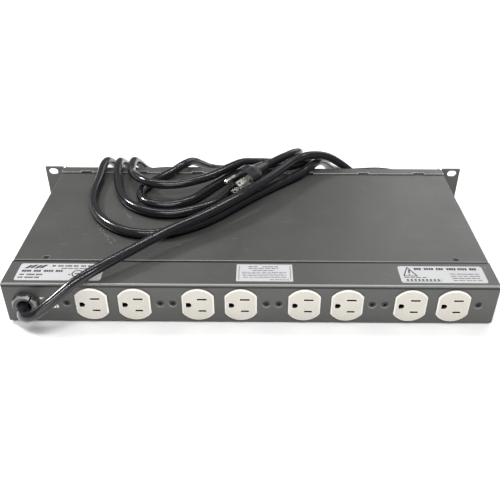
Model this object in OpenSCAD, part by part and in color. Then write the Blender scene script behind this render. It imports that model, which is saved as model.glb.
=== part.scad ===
// Rack-mounted power strip, one rack unit high: eight outlets at the back, one at the front.
// Frame: +X along the width, -Y out of the back (outlet side), +Y out of the rack front, +Z up.
// The origin is the centre of the base, measured without the free power cord. Millimetres.

/* [Rack panel] */
// Width of the rack panel across both ears
panel_w = 482.6; // [482:0.1:483.4]
// Height of the rack panel
panel_h = 43.7; // [43.4:0.1:44.2]
// Thickness of the rack panel's sheet
panel_t = 1.5; // [1.3:0.1:1.6]
// Depth of the panel's top flange
front_flange = 14.6; // [13:0.1:18]
// Distance between the two columns of ear slots
ear_slot_x = 465.1; // [464:0.1:466]
// Distance between the two rows of ear slots
ear_slot_z = 31.75; // [30:0.05:33]
// Length of an ear slot, end to end
ear_slot_len = 10.3; // [8:0.1:11]
// Height of an ear slot
ear_slot_h = 7.1; // [5.5:0.1:7.4]

/* [Case] */
// Depth from the outlet face to the rack panel's face
depth = 232; // [220:1:260]
// Width of the chassis and of the top cover
body_w = 437; // [434:0.5:437.5]
// Width of the outlet panel
rear_w = 438; // [436:0.5:440]
// Thickness of the case sheet
sheet_t = 1.2; // [1:0.1:1.3]
// Height of the outlet panel's top surface above the base
top_z = 42.5; // [42:0.1:42.6]
// Depth of the outlet panel's top flange
rear_flange = 36.6; // [32:0.1:40]
// Gap between the cover and the flanges
seam = 1.2; // [0.6:0.1:1.4]

/* [Outlets] */
// Middle of the row of outlets, along X
outlet_mid_x = 19.5; // [16:0.5:19.5]
// Distance between two duplex outlets
outlet_pitch = 94.6; // [94.2:0.1:96]
// Height of the outlets above the base
outlet_z = 21.5; // [21:0.1:21.8]
// Diameter of one outlet face
face_d = 34.1; // [33.5:0.1:34.5]
// Width of one outlet face across its flats
face_flat = 28.6; // [28:0.1:28.6]
// Height that the outlet face stands out of the panel
face_out = 2; // [1:0.1:2.5]

/* [Controls] */
// Place of the rocker switch along X
switch_x = -178; // [-190:1:-170]
// Tilt of the rocker to each side of its middle
rocker_tilt = 12; // [8:1:12]
// Place of the circuit breaker along X
breaker_x = -140; // [-150:1:-125]
// Place of the front outlet along X
front_outlet_x = 150; // [100:1:160]

/* [Cord] */
// Diameter of the power cord
cord_d = 9.4; // [8:0.1:9.6]
// Place of the strain relief along X
relief_x = -200; // [-202:1:-196]

/* [Hidden] */
$fn = 64;

// Places along Y. The breaker button reaches furthest forward and the strain relief furthest back.
button_reach = 9;
relief_head = 7;
rear_y = -(depth + button_reach + relief_head) / 2 + relief_head;
front_y = rear_y + depth;
panel_back = front_y - panel_t;
rear_in = rear_y + sheet_t;
seam_y = rear_y + rear_flange;
flange_y = front_y - front_flange;

// Heights of the case
base_z = 0.8;
floor_z = base_z + sheet_t;
floor_top = floor_z + sheet_t;
cover_z = top_z - sheet_t;
front_top = panel_h - 0.2;
front_base = floor_z - panel_t;
bend_r = 2.5;

// Cover tongues and the notches they sit in
tongues = 7;
tongue_pitch = 63.5;
tongue_w = 11;
notch_w = 12.4;
notch_d = 3.2;

// Rivets of the yokes
rivet_x = 41.67;
rivet_hole = 4.2;
dimple_d = 7.6;

// Parts of one outlet, measured from the panel's outer face inwards
lobe_x = 19.05;
slot_x = 3.6;
slot_z = 6.35;
pin_x = -8.3;
base_in = 1.3;
base_back = 5.2;
body_back = 24;
body_half = 33.4;
body_h = 30;
channel_w = 4.6;
channel_back = 20.2;
strip_t = 0.8;
terminal_in = 14;
terminal_x = 9.5;
plate_half = 14;
yoke_t = 1.2;
yoke_w = 19;
yoke_end = 46.8;
leg_in = 33.7;

// Surge board
board = [80, 50, 1.6];
board_at = [-10, 20];
board_z = 11.2;

// Clear space between the chassis walls and the inside of both panels
wall_gap = 1.2;

// Axle of the rocker, measured from the panel's face, and the rocker's radius
axle_y = -1;
rocker_r = 12.4;

// Earthing stud on the chassis floor
stud_at = [-150, -60];

// Wiring: size, the heights of the two rows of jumpers and the end of the cord's sheath
wire_d = 2.6;
low_z = floor_top + 1.6;
high_z = outlet_z + 16.9;
inlet = [relief_x, rear_y + 11, outlet_z];

// Height of the strain relief
relief_z = outlet_z + 0.2;

// The front outlet's parts sit this much deeper, behind the thicker rack panel
front_inset = 0.35;

// The cord's course, from inside the strain relief to the plug
route = [
    // out of the gland and up over the rear edge
    [-200, -107, 21.7], [-200, -120, 21.7], [-199, -132, 22.3], [-194, -141, 25],
    [-185, -145, 29.5], [-174, -140, 35.5], [-164, -132, 41], [-155, -124, 46],
    // main strand across the cover, on top
    [-147, -117, 48.8], [-134, -105, 51.5], [-109, -80, 54], [-78, -48, 56], [-46, -20, 57.5], [-12, 15, 60],
    [4, 35, 60.5], [20, 57, 60.5], [36, 81, 61], [49, 98, 61.5], [66, 110, 61.5],
    // teardrop in front of the panel
    [87, 120, 55], [109, 124, 40], [130, 123, 22], [151, 122, 9], [168, 125, 5], [183, 136, 5],
    [191, 152, 5], [190, 169, 5], [179, 182, 5], [161, 187, 5], [143, 186, 5], [126, 181, 6.5],
    [109, 171, 12], [95, 157, 24], [86, 140, 38], [77, 122, 48],
    // loop A, right to left along the cover
    [67, 106, 50.5], [54, 91, 48], [38, 75, 47.4], [20, 57, 47.4], [1, 37, 47.4], [-18, 15, 47.4],
    [-36, -6, 47.4], [-56, -24, 47.4], [-79, -36, 47.4], [-102, -40, 47.4], [-123, -35, 47.4],
    [-142, -21, 47.4], [-157, -1, 47.4], [-166, 23, 47.4], [-170, 50, 47.4], [-170, 78, 47.8], [-170, 102, 51],
    // far side of loop A to B
    [-169, 120, 48.5], [-167, 137, 38], [-163, 153, 23], [-152, 170, 9], [-134, 181, 5], [-110, 185, 5],
    [-60, 185, 5], [0, 185, 5], [36, 185, 5], [57, 178, 8], [70, 163, 19], [72, 145, 34],
    [67, 128, 46],
    // loop B
    [58, 113, 50.6], [44, 104, 50.6], [28, 101, 49.6], [11, 98, 49], [-4, 88, 47.8], [-14, 73, 47.4],
    [-21, 56, 47.4], [-29, 38, 47.4], [-41, 22, 47.4], [-57, 9, 47.4], [-77, 0, 47.4], [-96, 0, 47.4],
    [-114, 8, 47.4], [-130, 23, 47.4], [-141, 46, 47.4], [-149, 74, 47.8], [-153, 100, 51],
    // far side of loop B to D
    [-154, 119, 48.5], [-152, 136, 37], [-146, 151, 22], [-133, 165, 9], [-114, 174, 5], [-90, 175, 5],
    [-50, 175, 5], [-12, 175, 5], [10, 172, 7], [28, 160, 17], [35, 143, 31], [31, 127, 44],
    // loop D
    [20, 113, 51], [4, 105, 55], [-12, 96, 58.5], [-28, 81, 58.5], [-44, 65, 57.4], [-62, 52, 57.4],
    [-80, 44, 57.4], [-98, 43, 57.4], [-114, 50, 57.6], [-127, 66, 56], [-135, 86, 51.5], [-138, 104, 51],
    // far side of loop D to E
    [-138, 121, 48.5], [-136, 137, 38], [-130, 152, 22], [-115, 162, 10.5], [-95, 165, 5.4], [-70, 165, 5],
    [-42, 164, 5.5], [-18, 158, 13], [-3, 145, 27], [0, 129, 42], [-7, 114, 49],
    // loop E and its return F
    [-17, 98, 48.6], [-29, 80, 47.4], [-41, 62, 47.4], [-53, 43, 47.4], [-66, 27, 47.4], [-83, 17, 47.4],
    [-102, 18, 47.4], [-116, 30, 47.4], [-119, 49, 47.4], [-112, 67, 47.4], [-101, 82, 47.4], [-89, 95, 48.6],
    [-79, 106, 51],
    // far side of F to the plug
    [-70, 121, 48], [-61, 137, 37], [-50, 154, 24], [-32, 169, 15.5], [-8, 178, 14.8], [18, 182, 14.8],
    [38, 177, 19], [50, 165, 30], [55, 149, 45], [54, 133, 55], [46.5, 118.5, 60.2],
    [36.5, 107, 61], [27.5, 98.5, 60.6], [16.6, 86.7, 60], [13.7, 82.6, 60], [11.3, 79.4, 60], [9.2, 76.5, 60]
];
// Plug: the middle of its face, its heading and its roll about the cord
plug_at = [-8, 46.5, 58.2];
plug_turn = -125.8;
plug_roll = -27.2;
plug_mid = -4;

function outlet_x(i) = outlet_mid_x + outlet_pitch * (i - 2.5);

// ---- helpers ----

// Extrudes a (Y, Z) outline along X, centred, w long.
module along_x(w) {
    rotate([90, 0, 90]) linear_extrude(w, center = true) children();
}

// Extrudes an (X, Z) outline along Y, from y0 to y1.
module along_y(y0, y1) {
    translate([0, y1, 0]) rotate([90, 0, 0]) linear_extrude(y1 - y0) children();
}

// Rectangle from (x0, y0) to (x1, y1) whose two corners at x1 have radius r.
module nose(x0, x1, y0, y1, r) {
    translate([x0, y0]) square([x1 - x0 - r, y1 - y0]);
    translate([x0, y0 + r]) square([x1 - x0, y1 - y0 - 2 * r]);
    for (y = [y0 + r, y1 - r]) translate([x1 - r, y]) circle(r);
}

// Rounded rectangle centred on the origin.
module round_rect(w, h, r) {
    square([w - 2 * r, h], center = true);
    square([w, h - 2 * r], center = true);
    for (x = [-1, 1], y = [-1, 1]) translate([x * (w / 2 - r), y * (h / 2 - r)]) circle(r);
}

// Outline of a folded channel: web at x1, flanges d_top and d_low deep, thickness t.
module channel_outline(x1, d_top, d_low, z0, z1, t, r) {
    difference() {
        nose(x1 - d_top, x1, z0, z1, r);
        nose(x1 - d_top - 1, x1 - t, z0 + t, z1 - t, r - t);
        translate([x1 - d_top - 1, z0 - 1]) square([d_top - d_low + 1, 2 + t]);
    }
}

// Slot outline, l long and h high.
module slot_outline(l, h) {
    square([l - h, h], center = true);
    for (s = [-1, 1]) translate([s * (l - h) / 2, 0]) circle(h / 2);
}

// ---- case ----

module front_panel() {
    mid_z = panel_h / 2;
    color([0.13, 0.13, 0.12]) difference() {
        union() {
            along_x(rear_w)
                channel_outline(front_y, front_flange, 12, front_base, front_top, panel_t, bend_r);
            along_y(panel_back, front_y) difference() {
                translate([-panel_w / 2, 0]) square([panel_w, panel_h]);
                square([rear_w - 6, 3 * panel_h], center = true);
            }
        }
        // bend reliefs beside the flanges
        for (s = [-1, 1], z = [0, panel_h])
            translate([s * (rear_w / 2 - 0.2), front_y, z]) cube([3, 2 * bend_r + 2, 11], center = true);
        // ear slots
        for (s = [-1, 1], k = [-1, 1])
            translate([s * ear_slot_x / 2, 0, mid_z + k * ear_slot_z / 2])
                along_y(panel_back - 1, front_y + 1) slot_outline(ear_slot_len, ear_slot_h);
        // notches for the cover's tongues
        for (i = [0 : tongues - 1])
            translate([(i - (tongues - 1) / 2) * tongue_pitch, flange_y + notch_d / 2 - 1, front_top])
                cube([notch_w, notch_d + 2, 3 * panel_t], center = true);
        // cut-outs of the switch, breaker and front outlet
        translate([switch_x - 6.6, panel_back - 1, mid_z - 14.2]) cube([13.2, panel_t + 2, 28.4]);
        translate([breaker_x, front_y + 1, mid_z]) rotate([90, 0, 0]) cylinder(d = 11.4, h = panel_t + 2);
        front_outlet_place() outlet_cutouts([0], panel_t);
        screw_places(front_y - 6) cylinder(d = 3.4, h = 4, center = true);
    }
}

module chassis() {
    color([0.16, 0.16, 0.15]) difference() {
        along_y(rear_in + wall_gap, panel_back - wall_gap) difference() {
            translate([0, (floor_z + cover_z) / 2]) round_rect(body_w, cover_z - floor_z, 2);
            translate([0, (floor_z + cover_z) / 2])
                round_rect(body_w - 2 * sheet_t, cover_z - floor_z - 2 * sheet_t, 2 - sheet_t);
            translate([-body_w / 2 + 9, cover_z - 5]) square([body_w - 18, 10]);
        }
        for (y = [front_y - 6, rear_y + 7]) screw_places(y) cylinder(d = 3.4, h = 4, center = true);
        translate(concat(stud_at, floor_z - 1)) cylinder(d = 4.2, h = 4);
        standoff_places() translate([0, 0, floor_z - 1]) cylinder(d = 3.2, h = 4);
    }
}

module rear_panel() {
    color([0.14, 0.14, 0.13]) difference() {
        mirror([0, 1, 0]) along_x(rear_w)
            channel_outline(-rear_y, rear_flange, 14, base_z, top_z, sheet_t, 1.8);
        // rounded lower corners
        for (s = [-1, 1]) translate([s * (rear_w / 2 - 2.6), 0, base_z + 2.6])
            along_y(rear_y - 1, rear_y + 20) difference() {
                translate([s * 2, -2]) square(4, center = true);
                circle(2.6);
            }
        for (i = [1 : 4]) outlet_place(i) outlet_cutouts([-lobe_x, lobe_x], sheet_t);
        translate([relief_x, rear_y - 1, relief_z]) rotate([-90, 0, 0]) cylinder(d = 16, h = sheet_t + 2);
        screw_places(rear_y + 7) cylinder(d = 3.4, h = 4, center = true);
    }
}

module top_cover() {
    y0 = seam_y + seam;
    y1 = flange_y - seam;
    drop = top_z - (front_top - panel_t) + 0.1;
    color([0.15, 0.15, 0.14]) difference() {
        union() {
            along_x(body_w) {
                translate([y0 + 1, cover_z]) square([y1 - y0 - 1, sheet_t]);
                translate([y0, cover_z]) square([2, sheet_t - 1]);
                intersection() {
                    translate([y0 + 1, top_z - 1]) circle(1);
                    translate([y0, cover_z]) square([2, sheet_t]);
                }
            }
            for (i = [0 : tongues - 1]) translate([(i - (tongues - 1) / 2) * tongue_pitch, 0, 0])
                along_x(tongue_w) polygon([
                    [y1 - 1, cover_z], [y1 + 2.6, cover_z], [y1 + 3.6, cover_z - drop],
                    [y1 + 11, cover_z - drop], [y1 + 11, top_z - drop], [y1 + 3.8, top_z - drop],
                    [y1 + 2.8, top_z], [y1 - 1, top_z]
                ]);
        }
        cover_screw_places() {
            cylinder(d = 3.8, h = 8, center = true);
            translate([0, 0, -1.1]) cylinder(d1 = 3.8, d2 = 8.2, h = 1.8);
        }
    }
}

// Strip under the seam: it carries the cover's edge and takes the cover screws.
module seam_bracket() {
    color([0.3, 0.3, 0.3]) difference() {
        along_x(body_w - 20) union() {
            translate([seam_y - 8, cover_z - sheet_t]) square([22, sheet_t]);
            translate([seam_y + 12.8, cover_z - 9]) square([sheet_t, 9]);
        }
        cover_screw_places() cylinder(d = 3.3, h = 12, center = true);
    }
}

module cover_screw_places() {
    for (s = [-1, 1]) translate([s * 189.8, seam_y + 5.7, top_z]) children();
}

module cover_screws() {
    color([0.2, 0.2, 0.2]) cover_screw_places() difference() {
        union() {
            translate([0, 0, -1.25]) cylinder(d1 = 3.1, d2 = 5.6, h = 1.0);
            translate([0, 0, -7]) cylinder(d = 3.1, h = 6.2);
        }
        cross_recess(-0.25, 2.6);
    }
}

// Cross recess with its mouth at height z.
module cross_recess(z, l) {
    for (a = [0, 90]) rotate([0, 0, a]) translate([0, 0, z]) cube([l, 0.6, 1.4], center = true);
}

module screw_places(y) {
    for (x = [-195, -65, 65, 195]) translate([x, y, floor_z]) children();
}

module panel_screws() {
    color([0.25, 0.25, 0.25]) for (y = [front_y - 6, rear_y + 7]) screw_places(y) difference() {
        union() {
            translate([0, 0, sheet_t]) cylinder(d = 6, h = 1.6);
            translate([0, 0, -0.9]) cylinder(d = 3.2, h = 3);
        }
        cross_recess(sheet_t + 1.6, 3);
    }
}

// ---- outlets ----

module outlet_place(i) {
    translate([outlet_x(i), rear_y, outlet_z]) children();
}

module front_outlet_place() {
    translate([front_outlet_x, front_y, outlet_z]) rotate([0, 0, 180]) children();
}

module front_outlet_parts() {
    front_outlet_place() translate([0, front_inset, 0]) children();
}

module lobe_outline(clear) {
    intersection() {
        circle(d = face_d + 2 * clear);
        square([face_flat + 2 * clear, 2 * face_d], center = true);
    }
}

// Holes that an outlet needs in a panel t thick, lobes at the given places.
module outlet_cutouts(lobes, t) {
    for (x = lobes) translate([x, 0, 0]) along_y(-1, t + 1) lobe_outline(0.3);
    for (s = [-1, 1]) translate([s * rivet_x, 0, 0]) rotate([-90, 0, 0]) {
        translate([0, 0, -0.01]) cylinder(d1 = dimple_d, d2 = rivet_hole + 0.2, h = sheet_t);
        translate([0, 0, -1]) cylinder(d = rivet_hole + 0.2, h = t + 2);
    }
}

// Holes of one outlet, from y0 to y1: the long slot above, the short one below, the round one aside.
module blade_holes(y0, y1) {
    along_y(y0, y1) {
        translate([slot_x, slot_z]) square([8.7, 1.9], center = true);
        translate([slot_x, -slot_z]) square([7.1, 1.9], center = true);
        translate([pin_x, 0]) circle(d = 5.2);
        translate([pin_x - 2.3, -2.6]) square([2.3, 5.2]);
    }
}

module outlet_face(lobes) {
    bevel = 0.9;
    difference() {
        union() {
            for (x = lobes) translate([x, 0, 0]) {
                along_y(-face_out + bevel, base_back) lobe_outline(0);
                intersection() {
                    translate([0, -face_out, 0]) rotate([-90, 0, 0])
                        cylinder(r1 = face_d / 2 - bevel, r2 = face_d / 2, h = bevel);
                    translate([0, 0, -face_d]) linear_extrude(2 * face_d) polygon([
                        [-face_flat / 2 + bevel, -face_out], [face_flat / 2 - bevel, -face_out],
                        [face_flat / 2, -face_out + bevel], [-face_flat / 2, -face_out + bevel]
                    ]);
                }
            }
            along_y(base_in, base_back) square([2 * body_half, body_h], center = true);
        }
        for (x = lobes) translate([x, 0, 0]) blade_holes(-face_out - 1, base_back + 1);
    }
}

// Housing behind the face with a channel for each set of contacts.
module outlet_body() {
    difference() {
        along_y(base_back, body_back) round_rect(2 * body_half, body_h, 1.5);
        for (z = [-slot_z, slot_z]) translate([0, 0, z])
            along_y(base_back - 1, channel_back) square([2 * body_half - 4, channel_w], center = true);
        along_y(base_back - 1, channel_back)
            translate([-body_half - 1, -channel_w / 2]) square([2 * body_half - 1, channel_w]);
        for (s = [-1, 1]) {
            translate([0, channel_back - 0.5, s * 12]) cube([2 * plate_half + 0.6, 1, 12], center = true);
            for (x = [-terminal_x, terminal_x])
                translate([x, terminal_in, s * 13]) cylinder(d = 3.6, h = 5, center = true);
        }
    }
}

// Folded yoke: two ears against the panel, two legs and a back bar.
module outlet_yoke() {
    difference() {
        linear_extrude(yoke_w, center = true) {
            for (s = [0, 1]) mirror([s, 0]) {
                translate([leg_in, base_in]) square([yoke_end - leg_in, yoke_t]);
                translate([leg_in, base_in]) square([yoke_t, body_back + 1.5 - base_in]);
            }
            translate([-leg_in - 0.5, body_back + 0.3]) square([2 * leg_in + 1, yoke_t]);
        }
        for (s = [-1, 1]) translate([s * rivet_x, 0, 0]) rotate([-90, 0, 0]) cylinder(d = rivet_hole, h = 6);
        translate([-leg_in - yoke_t - 1, terminal_in, 0]) rotate([0, 90, 0]) cylinder(d = 3.5, h = 4);
    }
}

// Strip with a pair of leaves at each blade. side is -1 for the line, 1 for the neutral.
module blade_contacts(lobes, side) {
    translate([0, 0, side * slot_z]) {
        along_y(channel_back - strip_t, channel_back)
            translate([min(lobes) - 4, -1.9]) square([max(lobes) - min(lobes) + 14, 3.8]);
        for (x = lobes, s = [-1, 1]) translate([x + slot_x, 0, s * 1.1])
            along_y(base_back + 1, channel_back - strip_t / 2) square([8.4, 0.6], center = true);
    }
    // side plate under the terminal screws
    difference() {
        union() {
            translate([-plate_half, channel_back - strip_t, side > 0 ? slot_z + 1 : -15.8])
                cube([2 * plate_half, strip_t, 15.8 - slot_z - 1]);
            translate([-plate_half, 9, side > 0 ? 15 : -15.8]) cube([2 * plate_half, channel_back - 9, 0.8]);
        }
        for (x = [-terminal_x, terminal_x])
            translate([x, terminal_in, side * 15.4]) cylinder(d = 3.5, h = 4, center = true);
    }
}

module pin_contacts(lobes) {
    along_y(channel_back - strip_t, channel_back)
        translate([-leg_in + 0.1, -1.9]) square([leg_in + max(lobes) + pin_x + 6, 3.8]);
    for (x = lobes, s = [-1, 1]) translate([x + pin_x, 0, s * 2.05])
        along_y(base_back + 1, channel_back - strip_t / 2) square([6, 0.4], center = true);
}

module side_screws(side) {
    turn = side > 0 ? 0 : 180;
    for (x = [-terminal_x, terminal_x]) translate([x, terminal_in, 0]) rotate([turn, 0, 0]) difference() {
        union() {
            translate([0, 0, 15.8]) cylinder(d = 6.4, h = 1.9);
            translate([0, 0, 10.8]) cylinder(d = 3.4, h = 5.5);
        }
        translate([0, 0, 17.7]) cube([5.4, 0.8, 1.4], center = true);
    }
}

module yoke_screw() {
    translate([-leg_in - yoke_t, terminal_in, 0]) rotate([0, 90, 0]) {
        translate([0, 0, -2]) cylinder(d = 7, h = 2, $fn = 6);
        cylinder(d = 3.4, h = 2.6);
    }
}

// Tubular rivet set in a countersink, rolled over behind a yoke that sits deeper by inset.
module yoke_rivet(inset) {
    rotate([-90, 0, 0]) difference() {
        union() {
            translate([0, 0, 0.5]) cylinder(d1 = 5.9, d2 = rivet_hole, h = sheet_t - 0.5);
            translate([0, 0, 0.9]) cylinder(d = rivet_hole - 0.1, h = base_in + yoke_t + inset - 0.5);
            translate([0, 0, base_in + yoke_t + inset]) cylinder(d = 6.2, h = 0.8);
        }
        translate([0, 0, -1]) cylinder(d = 2.3, h = 8);
    }
}

module receptacle_face(i) {
    color([0.9, 0.87, 0.82]) outlet_place(i) outlet_face([-lobe_x, lobe_x]);
}

module receptacle_body(i) {
    color([0.2, 0.2, 0.22]) outlet_place(i) outlet_body();
}

module receptacle_yoke(i) {
    color([0.75, 0.75, 0.72]) outlet_place(i) outlet_yoke();
}

module line_contacts(i) {
    color([0.8, 0.62, 0.25]) outlet_place(i) blade_contacts([-lobe_x, lobe_x], -1);
}

module neutral_contacts(i) {
    color([0.8, 0.62, 0.25]) outlet_place(i) blade_contacts([-lobe_x, lobe_x], 1);
}

module ground_contacts(i) {
    color([0.8, 0.62, 0.25]) outlet_place(i) pin_contacts([-lobe_x, lobe_x]);
}

module front_outlet_face() {
    color([0.9, 0.87, 0.82]) front_outlet_parts() outlet_face([0]);
}

module front_outlet_body() {
    color([0.2, 0.2, 0.22]) front_outlet_parts() outlet_body();
}

module front_outlet_yoke() {
    color([0.75, 0.75, 0.72]) front_outlet_parts() outlet_yoke();
}

module front_outlet_contacts() {
    color([0.8, 0.62, 0.25]) front_outlet_parts() {
        blade_contacts([0], -1);
        blade_contacts([0], 1);
        pin_contacts([0]);
    }
}

// Every outlet's place in turn: the four duplex outlets and the front one.
module each_outlet() {
    for (i = [1 : 4]) outlet_place(i) children();
    front_outlet_parts() children();
}

module yoke_rivets() {
    color([0.3, 0.3, 0.3]) {
        for (i = [1 : 4], s = [-1, 1]) outlet_place(i) translate([s * rivet_x, 0, 0]) yoke_rivet(0);
        for (s = [-1, 1]) front_outlet_place() translate([s * rivet_x, 0, 0]) yoke_rivet(front_inset);
    }
}

module line_screws() {
    color([0.8, 0.62, 0.25]) each_outlet() side_screws(-1);
}

module neutral_screws() {
    color([0.8, 0.8, 0.8]) each_outlet() side_screws(1);
}

module ground_screws() {
    color([0.1, 0.5, 0.2]) each_outlet() yoke_screw();
}

// ---- controls ----

module at_switch() {
    translate([switch_x, front_y, panel_h / 2]) children();
}

module switch_housing() {
    color([0.12, 0.12, 0.12]) at_switch() difference() {
        union() {
            along_y(0, 1.8) round_rect(15.4, 31, 1.5);
            along_y(-20, 0) square([13, 28.2], center = true);
        }
        along_y(axle_y - 8, 3) square([10.2, 25.4], center = true);
        translate([0, axle_y, 0]) rotate([0, 90, 0]) cylinder(d = 2.5, h = 20, center = true);
    }
}

module switch_rocker() {
    color([0.75, 0.1, 0.08]) at_switch() translate([0, axle_y, 0]) rotate([-rocker_tilt, 0, 0]) {
        along_x(9.6) intersection() {
            circle(rocker_r);
            polygon([[-4, -rocker_r], [4.6, -rocker_r], [3.3, 0], [4.6, rocker_r], [-4, rocker_r]]);
        }
        rotate([0, 90, 0]) cylinder(d = 2.4, h = 12.4, center = true);
    }
}

module at_breaker() {
    translate([breaker_x, front_y, panel_h / 2]) children();
}

module breaker_body() {
    color([0.1, 0.1, 0.1]) at_breaker() difference() {
        union() {
            along_y(-32, -panel_t) round_rect(15, 28, 1.5);
            rotate([-90, 0, 0]) translate([0, 0, -panel_t - 1]) cylinder(d = 11.2, h = panel_t + 1 + 5);
        }
        rotate([-90, 0, 0]) translate([0, 0, -12]) cylinder(d = 7.6, h = 20);
    }
}

module breaker_button() {
    color([0.85, 0.85, 0.83]) at_breaker() rotate([-90, 0, 0]) {
        translate([0, 0, -11]) cylinder(d = 7.5, h = 19.4);
        translate([0, 0, 8.4]) cylinder(d1 = 7.5, d2 = 6.3, h = 0.6);
    }
}

module breaker_nut() {
    color([0.7, 0.7, 0.7]) at_breaker() rotate([-90, 0, 0]) difference() {
        intersection() {
            cylinder(d = 16.2, h = 2.5, $fn = 6);
            cylinder(r1 = 9, r2 = 7.2, h = 2.5);
        }
        translate([0, 0, -1]) cylinder(d = 11.3, h = 5);
    }
}

// Push-on tabs of the switch and the breaker.
module terminal_tabs() {
    color([0.8, 0.62, 0.25]) {
        at_switch() for (z = [-9, 0, 9]) translate([-0.4, -29, z - 3.15]) tab();
        at_breaker() for (z = [-8, 8]) translate([-0.4, -41, z - 3.15]) tab();
    }
}

module tab() {
    difference() {
        cube([0.8, 9, 6.3]);
        translate([-1, 4, 3.15]) rotate([0, 90, 0]) cylinder(d = 1.8, h = 3);
    }
}

// ---- surge board and earthing ----

module standoff_places() {
    for (x = [-1, 1], y = [-1, 1])
        translate([board_at[0] + x * (board[0] / 2 - 5), board_at[1] + y * (board[1] / 2 - 5), 0]) children();
}

module surge_board() {
    color([0.1, 0.35, 0.2]) difference() {
        translate([board_at[0] - board[0] / 2, board_at[1] - board[1] / 2, board_z]) cube(board);
        standoff_places() translate([0, 0, board_z - 1]) cylinder(d = 3.2, h = 4);
    }
}

module board_standoffs() {
    color([0.8, 0.8, 0.78]) standoff_places() {
        translate([0, 0, floor_top]) cylinder(d = 6, h = board_z - floor_top, $fn = 6);
        translate([0, 0, floor_z + 0.2]) cylinder(d = 3, h = board_z - floor_z);
        translate([0, 0, board_z + board[2]]) cylinder(d = 5.6, h = 1.8);
        translate([0, 0, board_z - 1]) cylinder(d = 3, h = board[2] + 2);
    }
}

module varistors() {
    color([0.1, 0.25, 0.6]) for (k = [-1, 0, 1])
        translate([board_at[0] - 14 + k * 3, board_at[1] + k * 14, board_z + board[2]]) {
            translate([0, 2.4, 9]) rotate([90, 0, 0]) cylinder(d = 14, h = 4.8);
            for (s = [-1, 1]) translate([s * 3.5, 0, 0]) cylinder(d = 0.8, h = 4);
        }
}

module filter_capacitor() {
    color([0.85, 0.7, 0.2])
        translate([board_at[0] + 8, board_at[1] - 13, board_z + board[2]]) cube([11, 26, 16]);
}

module ground_stud() {
    color([0.75, 0.75, 0.7]) translate(concat(stud_at, 0)) {
        translate([0, 0, floor_z + 0.1]) cylinder(d = 4, h = 12);
        translate([0, 0, floor_top]) difference() {
            cylinder(d = 8.1, h = 3.2, $fn = 6);
            translate([0, 0, -1]) cylinder(d = 3.9, h = 6);
        }
    }
}

// ---- wiring ----

// Smooth curve through hand-placed points: position along the span from p[i] to p[i+1].
function spline_at(p, i, t) =
    let (a = p[max(i - 1, 0)], b = p[i], c = p[i + 1], d = p[min(i + 2, len(p) - 1)])
    0.5 * (2 * b + (c - a) * t + (2 * a - 5 * b + 4 * c - d) * t * t
        + (3 * b - a - 3 * c + d) * t * t * t);
function spline_points(p, steps) = [
    for (i = [0 : len(p) - 2], k = [0 : steps - 1]) spline_at(p, i, k / steps),
    p[len(p) - 1]
];
function unit(v) = v / norm(v);
// Directions along a chain of points.
function headings(q) = [
    for (i = [0 : len(q) - 1]) unit(q[min(i + 1, len(q) - 1)] - q[max(i - 1, 0)])
];
// Side vectors carried from point to point without twisting.
function carry(h, i, side) = unit(side - (side * h[i]) * h[i]);
function sides(h, i = 0, side = [0.3, 0.2, 1], found = []) =
    i == len(h) ? found
    : let (s = carry(h, i, side)) sides(h, i + 1, s, concat(found, [s]));

// Tube of diameter d along the points q, with n sides.
module tube(q, d, n) {
    h = headings(q);
    s = sides(h);
    rings = [
        for (i = [0 : len(q) - 1]) let (u = s[i], v = cross(h[i], s[i]))
            for (k = [0 : n - 1]) q[i] + d / 2 * (cos(360 * k / n) * u + sin(360 * k / n) * v)
    ];
    last = (len(q) - 1) * n;
    polyhedron(rings, concat(
        [[for (k = [0 : n - 1]) k]],
        [for (i = [0 : len(q) - 2], k = [0 : n - 1])
            [i * n + k, (i + 1) * n + k, (i + 1) * n + (k + 1) % n, i * n + (k + 1) % n]],
        [[for (k = [n - 1 : -1 : 0]) last + k]]
    ));
}

module wire(p) {
    tube(spline_points(p, 4), wire_d, 8);
}

// Straight wires from one outlet's screw to the next, at height z.
module jumpers(z) {
    gap = plate_half + 0.4;
    for (i = [1 : 3]) translate([outlet_x(i) + gap, rear_y + terminal_in, z])
        rotate([0, 90, 0]) cylinder(d = wire_d, h = outlet_pitch - 2 * gap);
}

// Ends of the wires at the first outlet and at the front one, beside their screws.
rear_end = [outlet_x(1) - plate_half - 1.8, rear_y + terminal_in, 0];
front_end = [front_outlet_x - plate_half - 1.8, front_y - front_inset - terminal_in, 0];
board_in = board_z + board[2] + 0.1 + wire_d / 2;

module line_wires() {
    color([0.08, 0.08, 0.08]) {
        jumpers(low_z);
        // from the cord to the breaker, and from the breaker to the switch
        wire([
            inlet + [0, 0, -3], [-200, -90, 17], [-199, -50, 12], [-186, 0, 9],
            [-160, 40, 12], [-142, 62, 14], [-140, 72.6, 14]
        ]);
        wire([[-140, 72.6, 30], [-144, 52, 32], [-160, 48, 30], [-174, 58, 24], [-178, 84.5, 21.8]]);
        // from the switch to the board
        wire([
            [-178, 84.5, 30.8], [-181, 66, 32], [-176, 46, 32.5], [-150, 30, 30],
            [-100, 30, 28], [-62, 32, 19], [-47, 30, board_in]
        ]);
        // from the board to the outlets
        wire([
            [-47, 8, board_in], [-60, 0, 15], [-95, -30, 12], [-125, -60, 8],
            [-139, -82, 5.5], [-140, -94, low_z], rear_end + [0, 0, low_z]
        ]);
        wire([
            [27, 10, board_in], [50, 14, 20], [100, 40, 14], [124, 62, 7],
            [133, 82, low_z], front_end + [0, 0, low_z]
        ]);
    }
}

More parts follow.
